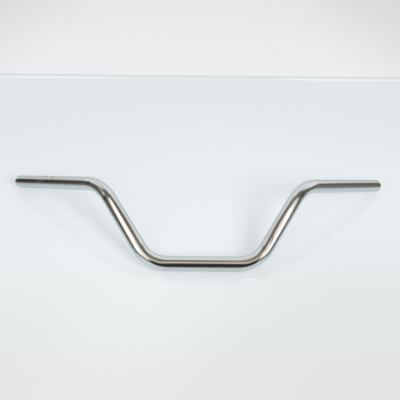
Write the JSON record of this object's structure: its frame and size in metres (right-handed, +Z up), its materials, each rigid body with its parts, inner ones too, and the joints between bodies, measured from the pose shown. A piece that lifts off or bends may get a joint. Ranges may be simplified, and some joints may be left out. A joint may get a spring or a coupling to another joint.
{
  "type": "moped handlebar",
  "caption": "Bent chromed steel tube handlebar: a straight clamp span, two rises and two swept-back arms with open ends.",
  "frame": {"origin": "middle of the straight span that the stem clamps, on the tube's axis", "axes": "+X along the clamp span to the right-hand end, +Z up from the surface that the bar lies on, and +Y the way the arms sweep; the bar lies on its clamp span and both end rims, with the plane of its rises leaning up at 31 degrees"},
  "size_m": [0.6762, 0.2483, 0.0836],
  "materials": {
    "chrome": "bright chrome plate with light wear"
  },
  "bodies": {
    "root": {"handlebar_tube": "chrome"}
  },
  "joints": []
}
